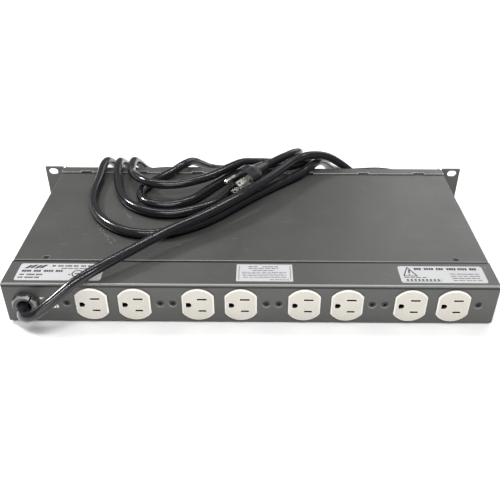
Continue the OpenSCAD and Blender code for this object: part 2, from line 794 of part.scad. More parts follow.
module neutral_wires() {
    color([0.9, 0.9, 0.88]) {
        jumpers(high_z);
        // from the cord to the board
        wire([
            inlet + [2.6, 0, 1.5], [-196, -92, 25], [-180, -60, 22], [-130, -10, 20],
            [-80, 18, 19], [-58, 22, 17], [-47, 20, board_in]
        ]);
        // from the board to the outlets
        wire([
            [-47, 14, board_in], [-58, 12, 19], [-85, -8, 27], [-115, -40, 29], [-131, -64, 29.3],
            [-137, -80, 34.5], [-138.5, -92, high_z], rear_end + [0, 0, high_z]
        ]);
        wire([
            [27, 28, board_in], [46, 34, 26], [90, 50, 34], [115, 74, 37],
            [131, 88, high_z], front_end + [0, 0, high_z]
        ]);
    }
}

module ground_wires() {
    outlet_back = rear_y + 27.4;
    color([0.1, 0.45, 0.15]) {
        // from the cord to the stud
        wire([
            inlet + [-2.6, 0, 1.5], [-202, -92, 24], [-192, -76, 20], [-172, -68, 12],
            [-156.2, -61, 8]
        ]);
        // from the stud along the outlets' yokes
        wire([
            [-143.8, -62, 9], [-132, -66, 14], [-110, -72, 21], [-80, -82, 22],
            [-55, outlet_back, 21.5], [-20, outlet_back, 21.5], [60, outlet_back, 21.5],
            [180, outlet_back, 21.5]
        ]);
        // from the stud to the front outlet
        wire([
            [-147, -53.8, 9], [-130, -40, 6.5], [-90, -36, 6], [0, -34, 6], [80, -10, 7],
            [140, 30, 12], [150, 60, 19], [150, 84, 21.5]
        ]);
    }
}

// ---- labels ----

module label(x0, w, y0, d, r) {
    color([0.93, 0.93, 0.92]) translate([x0 + w / 2, y0 + d / 2, top_z])
        linear_extrude(0.15) round_rect(w, d, r);
}

module rating_label() {
    label(-209, 76.5, rear_y + 5.5, 26.2, 2.5);
}

module approval_label() {
    label(-13, 50.5, rear_y + 5.8, 26.4, 0.4);
}

module caution_label() {
    label(133, 76.5, rear_y + 5, 25.8, 2.5);
}

// ---- cord ----

module strain_relief() {
    color([0.05, 0.05, 0.05]) translate([relief_x, rear_y, relief_z]) rotate([90, 0, 0]) difference() {
        union() {
            intersection() {
                rotate([0, 0, 22.5]) cylinder(d = 23.6, h = relief_head, $fn = 8);
                cylinder(r1 = 14.5, r2 = 9.8, h = relief_head);
            }
            translate([0, 0, -12]) cylinder(d = 15.8, h = 13);
            translate([0, 0, -5]) cylinder(d1 = 15.8, d2 = 17.4, h = 3.6);
        }
        translate([0, 0, -13]) cylinder(d = cord_d + 0.3, h = 22);
        translate([0, 0, relief_head - 3]) cylinder(d1 = cord_d + 0.3, d2 = 15, h = 3.2);
        rotate([0, 0, 52]) translate([6, 0, relief_head - 1]) cube([12, 1.4, 9], center = true);
    }
}
module cord() {
    color([0.04, 0.04, 0.04]) tube(route, cord_d, 8);
}

module at_plug() {
    translate(plug_at) rotate([0, 0, plug_turn]) rotate([plug_roll, 0, 0]) children();
}

// Head of the plug: square on the blades' side and round on the earth pin's side.
module plug_outline() {
    translate([0, -0.5]) circle(12.5);
    rotate(90) nose(-0.5, 13, -12.5, 12.5, 6);
}

// Moulded body: a squarish head at the pins, then a grip that narrows to the cord.
module plug_body() {
    color([0.05, 0.05, 0.05]) at_plug() translate([0, plug_mid, 0]) rotate([0, -90, 0]) difference() {
        union() {
            linear_extrude(13) plug_outline();
            translate([0, 0, 13]) linear_extrude(9, scale = [0.72, 0.72]) plug_outline();
            translate([0, 0, 22]) cylinder(d1 = 18, d2 = 13, h = 18);
        }
        translate([0, 0, 34]) cylinder(d = cord_d + 0.3, h = 8);
    }
}

// Two flat blades and the longer round earth pin, seen from the face.
module plug_pins() {
    blade = [17, 6.35, 1.5];
    color([0.85, 0.85, 0.83]) at_plug() {
        for (z = [-slot_z, slot_z]) translate([0.1, -blade[1] / 2, z - blade[2] / 2]) difference() {
            cube(blade);
            translate([13.2, blade[1] / 2, -1]) cylinder(d = 3, h = 4);
        }
        translate([0.1, -11.9, 0]) rotate([0, 90, 0]) {
            cylinder(d = 4.8, h = 18.6);
            translate([0, 0, 18.6]) cylinder(d1 = 4.8, d2 = 3, h = 1.4);
        }
    }
}

// ---- nodes ----

front_panel();
chassis();
rear_panel();
top_cover();
seam_bracket();
cover_screws();
panel_screws();
receptacle_face(1);  // receptacle_face_1
receptacle_face(2);  // receptacle_face_2
receptacle_face(3);  // receptacle_face_3
receptacle_face(4);  // receptacle_face_4
receptacle_body(1);  // receptacle_body_1
receptacle_body(2);  // receptacle_body_2
receptacle_body(3);  // receptacle_body_3
receptacle_body(4);  // receptacle_body_4
receptacle_yoke(1);  // receptacle_yoke_1
receptacle_yoke(2);  // receptacle_yoke_2
receptacle_yoke(3);  // receptacle_yoke_3
receptacle_yoke(4);  // receptacle_yoke_4
line_contacts(1);  // line_contacts_1
line_contacts(2);  // line_contacts_2
line_contacts(3);  // line_contacts_3
line_contacts(4);  // line_contacts_4
neutral_contacts(1);  // neutral_contacts_1
neutral_contacts(2);  // neutral_contacts_2
neutral_contacts(3);  // neutral_contacts_3
neutral_contacts(4);  // neutral_contacts_4
ground_contacts(1);  // ground_contacts_1
ground_contacts(2);  // ground_contacts_2
ground_contacts(3);  // ground_contacts_3
ground_contacts(4);  // ground_contacts_4
front_outlet_face();
front_outlet_body();
front_outlet_yoke();
front_outlet_contacts();
yoke_rivets();
line_screws();
neutral_screws();
ground_screws();
switch_housing();
switch_rocker();
breaker_body();
breaker_button();
breaker_nut();
terminal_tabs();
surge_board();
board_standoffs();
varistors();
filter_capacitor();
ground_stud();
line_wires();
neutral_wires();
ground_wires();
rating_label();
approval_label();
caution_label();
strain_relief();
cord();
plug_body();
plug_pins();
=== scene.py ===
"""Rack power strip: looks for the CAD nodes, the cord, the print, the camera and the studio.

Lengths are in metres in the part's frame, unless a name or a comment says mm.
"""
import math
import random

import bmesh
import bpy
from mathutils import Matrix, Vector


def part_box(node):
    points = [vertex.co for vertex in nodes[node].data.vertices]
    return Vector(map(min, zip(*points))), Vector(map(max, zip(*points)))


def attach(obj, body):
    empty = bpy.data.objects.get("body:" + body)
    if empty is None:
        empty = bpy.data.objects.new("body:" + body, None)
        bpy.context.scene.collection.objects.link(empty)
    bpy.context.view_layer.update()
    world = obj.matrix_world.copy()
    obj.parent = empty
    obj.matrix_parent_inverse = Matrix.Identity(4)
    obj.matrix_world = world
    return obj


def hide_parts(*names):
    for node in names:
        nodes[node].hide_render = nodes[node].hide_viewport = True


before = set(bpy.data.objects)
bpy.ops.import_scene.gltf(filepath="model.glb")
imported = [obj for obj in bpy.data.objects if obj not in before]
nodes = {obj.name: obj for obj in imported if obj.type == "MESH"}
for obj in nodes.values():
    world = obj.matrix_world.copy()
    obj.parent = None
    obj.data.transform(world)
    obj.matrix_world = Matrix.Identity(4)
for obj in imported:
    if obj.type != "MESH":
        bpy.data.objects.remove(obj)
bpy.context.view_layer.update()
MM = 0.001

# ---- camera, at the photograph's place and angle ----

CAM_PLACE = Vector((0.004957, -0.56846, 0.37108))
CAM_RIGHT = Vector((0.99998, 0.00331, 0.00502))
CAM_UP = Vector((-0.00601, 0.58743, 0.80926))

cam_data = bpy.data.cameras.new("camera")
cam_data.sensor_width = 36
cam_data.lens = 46.08
cam_data.shift_x = -0.013
cam_data.shift_y = 0.069
cam_data.clip_start = 0.02
cam = bpy.data.objects.new("camera", cam_data)
bpy.context.scene.collection.objects.link(cam)
cam_axes = Matrix((CAM_RIGHT, CAM_UP, CAM_RIGHT.cross(CAM_UP))).transposed()
cam.matrix_world = Matrix.Translation(CAM_PLACE) @ cam_axes.to_4x4()
bpy.context.scene.camera = cam

# ---- cord ----

CORD_D = 0.0094
CORD_FIT = 0.995  # of the CAD cord's radius
PATH_STEPS = 4  # points of the curve for each point of the route

# the CAD cord's route, in mm, from the gland to the plug
ROUTE_MM = [
    # out of the gland and up over the rear edge
    (-200, -107, 21.7), (-200, -120, 21.7), (-199, -132, 22.3), (-194, -141, 25),
    (-185, -145, 29.5), (-174, -140, 35.5), (-164, -132, 41), (-155, -124, 46),
    # main strand across the cover, on top
    (-147, -117, 48.8), (-134, -105, 51.5), (-109, -80, 54), (-78, -48, 56), (-46, -20, 57.5),
    (-12, 15, 60), (4, 35, 60.5), (20, 57, 60.5), (36, 81, 61), (49, 98, 61.5), (66, 110, 61.5),
    # teardrop in front of the panel
    (87, 120, 55), (109, 124, 40), (130, 123, 22), (151, 122, 9), (168, 125, 5), (183, 136, 5),
    (191, 152, 5), (190, 169, 5), (179, 182, 5), (161, 187, 5), (143, 186, 5), (126, 181, 6.5),
    (109, 171, 12), (95, 157, 24), (86, 140, 38), (77, 122, 48),
    # loop A, right to left along the cover
    (67, 106, 50.5), (54, 91, 48), (38, 75, 47.4), (20, 57, 47.4), (1, 37, 47.4), (-18, 15, 47.4),
    (-36, -6, 47.4), (-56, -24, 47.4), (-79, -36, 47.4), (-102, -40, 47.4), (-123, -35, 47.4),
    (-142, -21, 47.4), (-157, -1, 47.4), (-166, 23, 47.4), (-170, 50, 47.4), (-170, 78, 47.8),
    (-170, 102, 51),
    # far side of loop A to B
    (-169, 120, 48.5), (-167, 137, 38), (-163, 153, 23), (-152, 170, 9), (-134, 181, 5),
    (-110, 185, 5), (-60, 185, 5), (0, 185, 5), (36, 185, 5), (57, 178, 8), (70, 163, 19),
    (72, 145, 34), (67, 128, 46),
    # loop B
    (58, 113, 50.6), (44, 104, 50.6), (28, 101, 49.6), (11, 98, 49), (-4, 88, 47.8),
    (-14, 73, 47.4), (-21, 56, 47.4), (-29, 38, 47.4), (-41, 22, 47.4), (-57, 9, 47.4),
    (-77, 0, 47.4), (-96, 0, 47.4), (-114, 8, 47.4), (-130, 23, 47.4), (-141, 46, 47.4),
    (-149, 74, 47.8), (-153, 100, 51),
    # far side of loop B to D
    (-154, 119, 48.5), (-152, 136, 37), (-146, 151, 22), (-133, 165, 9), (-114, 174, 5),
    (-90, 175, 5), (-50, 175, 5), (-12, 175, 5), (10, 172, 7), (28, 160, 17), (35, 143, 31),
    (31, 127, 44),
    # loop D
    (20, 113, 51), (4, 105, 55), (-12, 96, 58.5), (-28, 81, 58.5), (-44, 65, 57.4),
    (-62, 52, 57.4), (-80, 44, 57.4), (-98, 43, 57.4), (-114, 50, 57.6), (-127, 66, 56),
    (-135, 86, 51.5), (-138, 104, 51),
    # far side of loop D to E
    (-138, 121, 48.5), (-136, 137, 38), (-130, 152, 22), (-115, 162, 10.5), (-95, 165, 5.4),
    (-70, 165, 5), (-42, 164, 5.5), (-18, 158, 13), (-3, 145, 27), (0, 129, 42), (-7, 114, 49),
    # loop E and its return F
    (-17, 98, 48.6), (-29, 80, 47.4), (-41, 62, 47.4), (-53, 43, 47.4), (-66, 27, 47.4),
    (-83, 17, 47.4), (-102, 18, 47.4), (-116, 30, 47.4), (-119, 49, 47.4), (-112, 67, 47.4),
    (-101, 82, 47.4), (-89, 95, 48.6), (-79, 106, 51),
    # far side of F to the plug
    (-70, 121, 48), (-61, 137, 37), (-50, 154, 24), (-32, 169, 15.5), (-8, 178, 14.8),
    (18, 182, 14.8), (38, 177, 19), (50, 165, 30), (55, 149, 45), (54, 133, 55),
    (46.5, 118.5, 60.2), (36.5, 107, 61), (27.5, 98.5, 60.6), (16.6, 86.7, 60), (13.7, 82.6, 60),
    (11.3, 79.4, 60), (9.2, 76.5, 60),
]


def smooth_path(points, steps):
    """Points along a smooth curve through the route's points."""
    out = []
    last = len(points) - 1
    for i in range(last):
        a, b = points[max(i - 1, 0)], points[i]
        c, d = points[i + 1], points[min(i + 2, last)]
        for k in range(steps):
            t = k / steps
            out.append(0.5 * (
                2 * b + (c - a) * t + (2 * a - 5 * b + 4 * c - d) * t * t
                + (3 * b - a - 3 * c + d) * t ** 3
            ))
    out.append(points[-1])
    return out


def link(obj):
    bpy.context.scene.collection.objects.link(obj)
    return obj


route = [Vector(p) * MM for p in ROUTE_MM]
path = smooth_path(route, PATH_STEPS)
curve = bpy.data.curves.new("power_cord", "CURVE")
curve.dimensions = "3D"
curve.bevel_depth = 1  # times each point's radius
curve.bevel_resolution = 5
curve.use_fill_caps = True
spline = curve.splines.new("POLY")
spline.points.add(len(path) - 1)
for point, place in zip(spline.points, path):
    point.co = (*place, 1)
    point.radius = CORD_D / 2 * CORD_FIT
spline.use_smooth = True
power_cord = link(bpy.data.objects.new("power_cord", curve))
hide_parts("cord")
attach(power_cord, "strip")

# ---- materials ----

NOISE_LOW, NOISE_HIGH = 0.3, 0.7  # the part of a noise's 0..1 that is used
FACE, EDGE = 0.99, 0.88  # dot of true and bevelled normals on a face, and on an edge
OPEN, SHUT = 0.75, 0.35  # occlusion where the painted shade starts, and where it is full
# colours of painted shade and of painted shadow lines
CREVICE_SHADE_BLACK = (0.004, 0.004, 0.004)
SEAM_SHADOW_BLACK = (0.002, 0.002, 0.002)
SHADOW_LINE_BLACK = (0.001, 0.001, 0.001)


class Mat:
    """A procedural material built around one Principled shader."""

    def __init__(self, name, color, rough, metallic=0.0):
        self.mat = bpy.data.materials.new(name)
        self.mat.use_nodes = True
        self.tree = self.mat.node_tree
        self.tree.nodes.clear()
        out = self.add("ShaderNodeOutputMaterial")
        self.bsdf = self.add("ShaderNodeBsdfPrincipled")
        self.join(self.bsdf.outputs[0], out.inputs[0])
        self.coord = self.add("ShaderNodeTexCoord").outputs["Object"]
        self.bsdf.inputs["Metallic"].default_value = metallic
        self.color = self.rgb(color)
        self.rough = rough
        self.height = None

    def add(self, kind, **props):
        node = self.tree.nodes.new(kind)
        for key, value in props.items():
            setattr(node, key, value)
        return node

    def join(self, a, b):
        self.tree.links.new(a, b)

    def rgb(self, color):
        node = self.add("ShaderNodeRGB")
        node.outputs[0].default_value = (*color, 1)
        return node.outputs[0]

    def place(self, scale=(1, 1, 1), offset=(0, 0, 0)):
        """Object coordinates moved and scaled."""
        node = self.add("ShaderNodeMapping")
        self.join(self.coord, node.inputs["Vector"])
        node.inputs["Scale"].default_value = scale
        node.inputs["Location"].default_value = offset
        return node.outputs[0]

    def noise(self, scale, detail=3, rough=0.5, stretch=(1, 1, 1), offset=(0, 0, 0)):
        """A cloudy 0..1, finer with a larger scale."""
        node = self.add("ShaderNodeTexNoise")
        self.join(self.place(stretch, offset), node.inputs["Vector"])
        node.inputs["Scale"].default_value = scale
        node.inputs["Detail"].default_value = detail
        node.inputs["Roughness"].default_value = rough
        return node.outputs["Fac"]

    def cells(self, scale):
        """Distance to the nearest scattered point."""
        node = self.add("ShaderNodeTexVoronoi")
        self.join(self.place(), node.inputs["Vector"])
        node.inputs["Scale"].default_value = scale
        return node.outputs["Distance"]

    def ramp(self, source, low, high, start=0.0, end=1.0):
        """source from low..high mapped to start..end, clamped."""
        node = self.add("ShaderNodeMapRange")
        self.join(source, node.inputs["Value"])
        limits = {"From Min": low, "From Max": high, "To Min": start, "To Max": end}
        for key, v in limits.items():
            node.inputs[key].default_value = v
        return node.outputs[0]

    def math(self, op, a, b):
        """a op b, where each is a number or a node's output."""
        node = self.add("ShaderNodeMath", operation=op)
        for k, v in enumerate((a, b)):
            if isinstance(v, (int, float)):
                node.inputs[k].default_value = v
            else:
                self.join(v, node.inputs[k])
        return node.outputs[0]

    def times(self, a, b):
        return self.math("MULTIPLY", a, b)

    def tint(self, factor, color):
        """Mixes color over what is there by factor."""
        node = self.add("ShaderNodeMix", data_type="RGBA")
        self.join(factor, node.inputs["Factor"])
        self.join(self.color, node.inputs[6])
        node.inputs[7].default_value = (*color, 1)
        self.color = node.outputs[2]

    def shade(self, source, low, high):
        """Multiplies the colour by low..high over source's 0..1."""
        node = self.add("ShaderNodeMix", data_type="RGBA", blend_type="MULTIPLY")
        node.inputs["Factor"].default_value = 1
        grey = self.add("ShaderNodeCombineColor")
        v = self.ramp(source, NOISE_LOW, NOISE_HIGH, low, high)
        for k in range(3):
            self.join(v, grey.inputs[k])
        self.join(self.color, node.inputs[6])
        self.join(grey.outputs[0], node.inputs[7])
        self.color = node.outputs[2]

    def roughen(self, source, low, high):
        """Adds low..high to the roughness over source's 0..1."""
        step = self.ramp(source, NOISE_LOW, NOISE_HIGH, low, high)
        self.rough = self.math("ADD", self.rough, step)

    def raise_by(self, source, amount):
        """Adds amount times source to the surface height, in metres."""
        step = self.times(source, amount)
        self.height = step if self.height is None else self.math("ADD", self.height, step)

    def edges(self, radius):
        """1 along sharp edges, 0 on faces."""
        bevel = self.add("ShaderNodeBevel", samples=4)
        bevel.inputs["Radius"].default_value = radius
        geo = self.add("ShaderNodeNewGeometry")
        dot = self.add("ShaderNodeVectorMath", operation="DOT_PRODUCT")
        self.join(bevel.outputs[0], dot.inputs[0])
        self.join(geo.outputs["Normal"], dot.inputs[1])
        return self.ramp(dot.outputs["Value"], FACE, EDGE)

    def place_along(self, axis, normal=False):
        """The frame's x, y or z of the surface, or of its normal."""
        geo = self.add("ShaderNodeNewGeometry")
        split = self.add("ShaderNodeSeparateXYZ")
        self.join(geo.outputs["Normal" if normal else "Position"], split.inputs[0])
        return split.outputs[axis]

    def band(self, source, low, high, soft=0.0002):
        """1 where source is between low and high, fading out over soft."""
        return self.times(
            self.ramp(source, low - soft, low), self.ramp(source, high + soft, high)
        )

    def crevice_shade(self, reach):
        """Painted shade: darkens slots, holes and narrow openings no deeper than about reach, by
        ambient occlusion.
        """
        node = self.add("ShaderNodeAmbientOcclusion", samples=8)
        node.inputs["Distance"].default_value = reach
        self.tint(self.ramp(node.outputs["AO"], OPEN, SHUT), CREVICE_SHADE_BLACK)

    def done(self, bump=1.0, soften=None):
        """Joins everything to the shader; soften rounds the edges' shading by that radius."""
        self.join(self.color, self.bsdf.inputs["Base Color"])
        if isinstance(self.rough, float):
            self.bsdf.inputs["Roughness"].default_value = self.rough
        else:
            self.join(self.rough, self.bsdf.inputs["Roughness"])
        normal = None
        if soften:
            bevel = self.add("ShaderNodeBevel", samples=4)
            bevel.inputs["Radius"].default_value = soften
            normal = bevel.outputs[0]
        if self.height is not None:
            node = self.add("ShaderNodeBump")
            node.inputs["Strength"].default_value = bump
            node.inputs["Distance"].default_value = 1.0
            self.join(self.height, node.inputs["Height"])
            if normal:
                self.join(normal, node.inputs["Normal"])
            normal = node.outputs[0]
        if normal:
            self.join(normal, self.bsdf.inputs["Normal"])
        return self.mat


PEEL = 0.00004  # height of the powder coat's orange peel
DUST = (0.55, 0.54, 0.5)
SCRATCHED = (0.4, 0.4, 0.38)
# edge colour: partly rubbed paint, partly painted highlight
EDGE_WEAR_AND_HIGHLIGHT = (0.4, 0.4, 0.39)


def powder_coat(name, color, rough=0.34, lines=None):
    """Satin powder coat: orange peel, smears, dust specks, faint scratches, edges lightened
    partly as rubbed paint and partly as painted highlight, and painted shade in slots and holes.

    lines paints the node's own painted shadows and highlights over that.
    """
    m = Mat(name, color, rough)
    m.shade(m.noise(14, 4, 0.6), 0.9, 1.1)
    m.shade(m.noise(900, 2), 0.92, 1.08)
    m.roughen(m.noise(25, 4, 0.6), -0.05, 0.06)
    m.roughen(m.noise(1400, 1), -0.04, 0.04)
    specks = m.times(m.ramp(m.cells(55), 0.035, 0.02), m.ramp(m.noise(30, 1), 0.5, 0.6))
    m.tint(m.times(specks, 0.6), DUST)
    scratches = m.ramp(m.noise(60, 2, 0.5, (1, 14, 1), (3, 1, 0)), 0.735, 0.76)
    m.tint(m.times(scratches, 0.25), SCRATCHED)
    # edges lightened: partly rubbed paint, partly painted highlight
    m.tint(m.times(m.edges(0.0008), 0.6), EDGE_WEAR_AND_HIGHLIGHT)
    # painted shade in slots and holes
    m.crevice_shade(0.003)
    if lines:
        lines(m)
    m.raise_by(m.noise(1100, 2), PEEL)
    m.raise_by(m.noise(90, 2), PEEL)
    return m.done(0.6, 0.0005)


# Where the painted shadows and highlights lie in the frame. A span's numbers are its low and high
# ends; a start's are where the line has faded out, and where it is full from there on.
FRONT_SEAM_SHADOW_START_Y = (0.0978, 0.0983)
FRONT_SEAM_SHADOW_START_Z = (0.0411, 0.0414)
COVER_HIGHLIGHT_SPAN_Y = (-0.0791, -0.0781)
COVER_HIGHLIGHT_START_Z = (0.0423, 0.0424)
COVER_SEAM_SHADOW_SPAN_Y = (-0.0800, -0.07915)
COVER_SEAM_SHADOW_START_Z = (0.04245, 0.0423)
FLANGE_HIGHLIGHT_SPAN_Y = (0.0995, 0.1045)
FLANGE_HIGHLIGHT_START_Z = (0.0408, 0.0412)
BEND_HIGHLIGHT_SPAN_Z = (0.0419, 0.0427)
BEND_HIGHLIGHT_START_Y = (-0.1154, -0.1157)
SHADOW_SPAN_Z = (0.0390, 0.0413)
SHADOW_START_Y = (-0.1162, -0.1165)
LEDGE_SHADOW_SPAN_Y = (-0.0820, -0.0800)
LEDGE_SHADOW_START_Z = (0.0405, 0.0408)
DIMPLE_LIGHT_AND_SHADE_SPAN_Y = (-0.11695, -0.1159)
LEDGE_SHADOW_FADE = 0.0001
SHARP = 0.00005  # fade of the thinnest lines


def cover_shadow_and_highlight_lines(m):
    """Painted shadows at both seams of the cover, and a painted highlight on its edge by the
    outlet panel.
    """
    y = m.place_along("Y")
    z = m.place_along("Z")
    # painted shadow on the cover by the gap under the rack panel's flange
    m.tint(m.times(m.ramp(y, *FRONT_SEAM_SHADOW_START_Y), m.ramp(z, *FRONT_SEAM_SHADOW_START_Z)), SHADOW_LINE_BLACK)
    # painted highlight on the cover's lit rear edge
    rear_edge_highlight = m.times(m.band(y, *COVER_HIGHLIGHT_SPAN_Y), m.ramp(z, *COVER_HIGHLIGHT_START_Z))
    m.tint(rear_edge_highlight, (0.17, 0.17, 0.165))
    # painted shadow in the seam between the cover and the rear flange
    edge = m.times(m.band(y, *COVER_SEAM_SHADOW_SPAN_Y, SHARP), m.ramp(z, *COVER_SEAM_SHADOW_START_Z))
    m.tint(edge, SEAM_SHADOW_BLACK)


def flange_highlight_lines(m):
    """Painted highlight on the lit edge of the rack panel's flange round the cover's tongues."""
    near = m.band(m.place_along("Y"), *FLANGE_HIGHLIGHT_SPAN_Y)
    top = m.times(near, m.ramp(m.place_along("Z"), *FLANGE_HIGHLIGHT_START_Z))
    # painted highlight on the flange's lit edge
    m.tint(m.times(m.edges(0.001), top), (0.7, 0.7, 0.68))


def outlet_panel_light_and_shade_lines(m):
    """Painted highlight along the panel's top bend, two painted shadow lines and painted light
    and shade in the rivet dimples.

    One painted shadow line is under the bend and one at the cover's seam; the dimples are painted
    light below and dark above.
    """
    y = m.place_along("Y")
    z = m.place_along("Z")
    # painted highlight along the top bend
    m.tint(m.times(m.band(z, *BEND_HIGHLIGHT_SPAN_Z), m.ramp(y, *BEND_HIGHLIGHT_START_Y)), (0.5, 0.5, 0.49))
    # painted shadow line under the bend
    m.tint(m.times(m.band(z, *SHADOW_SPAN_Z), m.ramp(y, *SHADOW_START_Y)), SHADOW_LINE_BLACK)
    # painted shadow on the rear flange's edge at the cover's seam
    ledge_shadow = m.times(m.band(y, *LEDGE_SHADOW_SPAN_Y, LEDGE_SHADOW_FADE), m.ramp(z, *LEDGE_SHADOW_START_Z))
    m.tint(ledge_shadow, SEAM_SHADOW_BLACK)
    # painted light and shade in the rivet dimples: lighter where the wall faces up, darker where
    # it faces down
    slope = m.place_along("Z", normal=True)
    dimple = m.band(y, *DIMPLE_LIGHT_AND_SHADE_SPAN_Y, SHARP)
    m.tint(m.times(dimple, m.ramp(slope, 0.1, 0.4)), (0.16, 0.16, 0.155))
    m.tint(m.times(dimple, m.ramp(slope, -0.1, -0.4)), (0.003, 0.003, 0.003))


def plain_metal(name, color, rough, stretch=(1, 1, 1), metallic=1.0, crevice_shade_reach=0.0):
    """Plated or bare metal, brushed and a little tarnished; a nonzero depth paints shade into
    slots that deep.
    """
    m = Mat(name, color, rough, metallic)
    m.shade(m.noise(120, 4, 0.6), 0.82, 1.08)
    m.shade(m.noise(500, 2, 0.5, stretch), 0.9, 1.06)
    m.roughen(m.noise(200, 3), -0.08, 0.1)
    m.raise_by(m.noise(700, 2, 0.5, stretch), 0.00002)
    if crevice_shade_reach:
        # painted shade in slots and holes
        m.crevice_shade(crevice_shade_reach)
    return m.done(0.5)


RIM_HIGHLIGHT_SLOPE = (0.45, 0.93)  # the normal's share along Y on a face's sloping border, where the highlight is painted
RIM_HIGHLIGHT_FADE = 0.03


def plastic(name, color, rough, grain=0.00003, vary=0.06, rim_highlight=None, crevice_shade_reach=0.0):
    """Moulded plastic with a fine grain; a border colour paints a highlight on its edges and
    faces sloping along Y, and a depth paints shade into its slots.
    """
    m = Mat(name, color, rough)
    m.shade(m.noise(60, 4, 0.6), 1 - vary, 1 + vary)
    if rim_highlight:
        # painted highlight on the edges and on faces sloping along Y
        m.tint(m.edges(0.0011), rim_highlight)
        slope = m.math("ABSOLUTE", m.place_along("Y", normal=True), 0)
        m.tint(m.band(slope, *RIM_HIGHLIGHT_SLOPE, RIM_HIGHLIGHT_FADE), rim_highlight)
    if crevice_shade_reach:
        # painted shade in slots
        m.crevice_shade(crevice_shade_reach)
    m.roughen(m.noise(150, 3), -0.05, 0.07)
    m.raise_by(m.noise(1500, 2), grain)
    m.raise_by(m.noise(200, 2), grain)
    return m.done(0.5, 0.0003)


def paint(node, mat):
    """Puts mat on every slot of a CAD node."""
    mesh = node.data
    if not mesh.materials:
        mesh.materials.append(mat)
    for k in range(len(mesh.materials)):
        mesh.materials[k] = mat


case_mat = powder_coat("powder_coat_case", (0.052, 0.052, 0.049), lines=cover_shadow_and_highlight_lines)
rear_mat = powder_coat("powder_coat_rear", (0.06, 0.06, 0.057), lines=outlet_panel_light_and_shade_lines)
# the seam bracket is near black so the seam above it reads as painted shadow
bracket_shadow_mat = powder_coat("seam_bracket_painted_shadow", (0.004, 0.004, 0.004), 0.8)
panel_mat = powder_coat("powder_coat_panel", (0.06, 0.06, 0.055), lines=flange_highlight_lines)
# ivory faces: painted highlight on the rims, painted shade in the slots
ivory = plastic(
    "ivory_nylon", (0.5, 0.475, 0.425), 0.34, 0.00002, 0.03, rim_highlight=(0.84, 0.82, 0.77), crevice_shade_reach=0.007,
)
zinc = plain_metal("zinc_plate", (0.62, 0.61, 0.57), 0.32, (1, 8, 1))
black_steel = plain_metal("black_steel", (0.035, 0.035, 0.036), 0.4, metallic=0.6)
# painted shade in the contacts' slots
brass = plain_metal("brass_strip", (0.72, 0.5, 0.2), 0.3, (8, 1, 1), crevice_shade_reach=0.008)
green_steel = plain_metal("green_steel", (0.05, 0.3, 0.1), 0.35, metallic=0.7)
dark_plastic = plastic("dark_plastic", (0.028, 0.028, 0.03), 0.42)
# gland: painted highlight on the edges, painted shade in the hole
gland_nylon = plastic("gland_nylon", (0.045, 0.045, 0.047), 0.33, rim_highlight=(0.2, 0.2, 0.2), crevice_shade_reach=0.004)
red_plastic = plastic("red_plastic", (0.45, 0.02, 0.015), 0.25, 0.00001, 0.04)
white_plastic = plastic("white_plastic", (0.75, 0.74, 0.7), 0.3, 0.00001, 0.03)
board_mat = plastic("board_green", (0.03, 0.16, 0.07), 0.35, 0.00002, 0.15)
blue_coat = plastic("blue_coat", (0.03, 0.1, 0.35), 0.35)
yellow_film = plastic("yellow_film", (0.7, 0.48, 0.06), 0.4)
wire_black = plastic("wire_black", (0.02, 0.02, 0.02), 0.4)
wire_white = plastic("wire_white", (0.75, 0.75, 0.72), 0.4)
wire_green = plastic("wire_green", (0.02, 0.25, 0.06), 0.4)
film = plastic("label_film", (0.4, 0.403, 0.407), 0.55, 0.00001, 0.02)
ink = plastic("label_ink", (0.012, 0.012, 0.014), 0.6, 0.00001, 0.1)
pale_ink = plastic("pale_ink", (0.07, 0.072, 0.075), 0.6, 0.00001, 0.1)
nickel = plain_metal("nickel_pins", (0.78, 0.76, 0.68), 0.22, (1, 1, 6))
jacket = plastic("cord_jacket", (0.009, 0.009, 0.011), 0.17, 0.00002, 0.12)

BY_MATERIAL = {
    case_mat: ["chassis", "top_cover"],
    bracket_shadow_mat: ["seam_bracket"],
    rear_mat: ["rear_panel"],
    panel_mat: ["front_panel"],
    zinc: ["panel_screws", "front_outlet_yoke", "board_standoffs", "ground_stud",
           "breaker_nut", "neutral_screws"] + [f"receptacle_yoke_{i}" for i in range(1, 5)],
    black_steel: ["cover_screws", "yoke_rivets"],
    ivory: ["front_outlet_face"] + [f"receptacle_face_{i}" for i in range(1, 5)],
    gland_nylon: ["strain_relief"],
    dark_plastic: ["front_outlet_body", "switch_housing", "breaker_body"]
    + [f"receptacle_body_{i}" for i in range(1, 5)],
    brass: ["front_outlet_contacts", "line_screws", "terminal_tabs"]
    + [f"{k}_contacts_{i}" for k in ("line", "neutral", "ground") for i in range(1, 5)],
    green_steel: ["ground_screws"],
    red_plastic: ["switch_rocker"],
    white_plastic: ["breaker_button"],
    board_mat: ["surge_board"],
    blue_coat: ["varistors"],
    yellow_film: ["filter_capacitor"],
    wire_black: ["line_wires"],
    wire_white: ["neutral_wires"],
    wire_green: ["ground_wires"],
    film: ["rating_label", "approval_label", "caution_label"],
    jacket: ["plug_body"],
    nickel: ["plug_pins"],
}
for material, names in BY_MATERIAL.items():
    for name in names:
        paint(nodes[name], material)
power_cord.data.materials.append(jacket)

# ---- printed marks: plain bars and simple shapes ----

INK_T = 0.00004  # thickness of the print on the labels
PANEL_INK_T = 0.00003  # and on the outlet panel
LIFT = 0.00001  # gap under the print
RING_PARTS = 24
RING_LAP = 1.02  # each part of a ring, as a share of its step


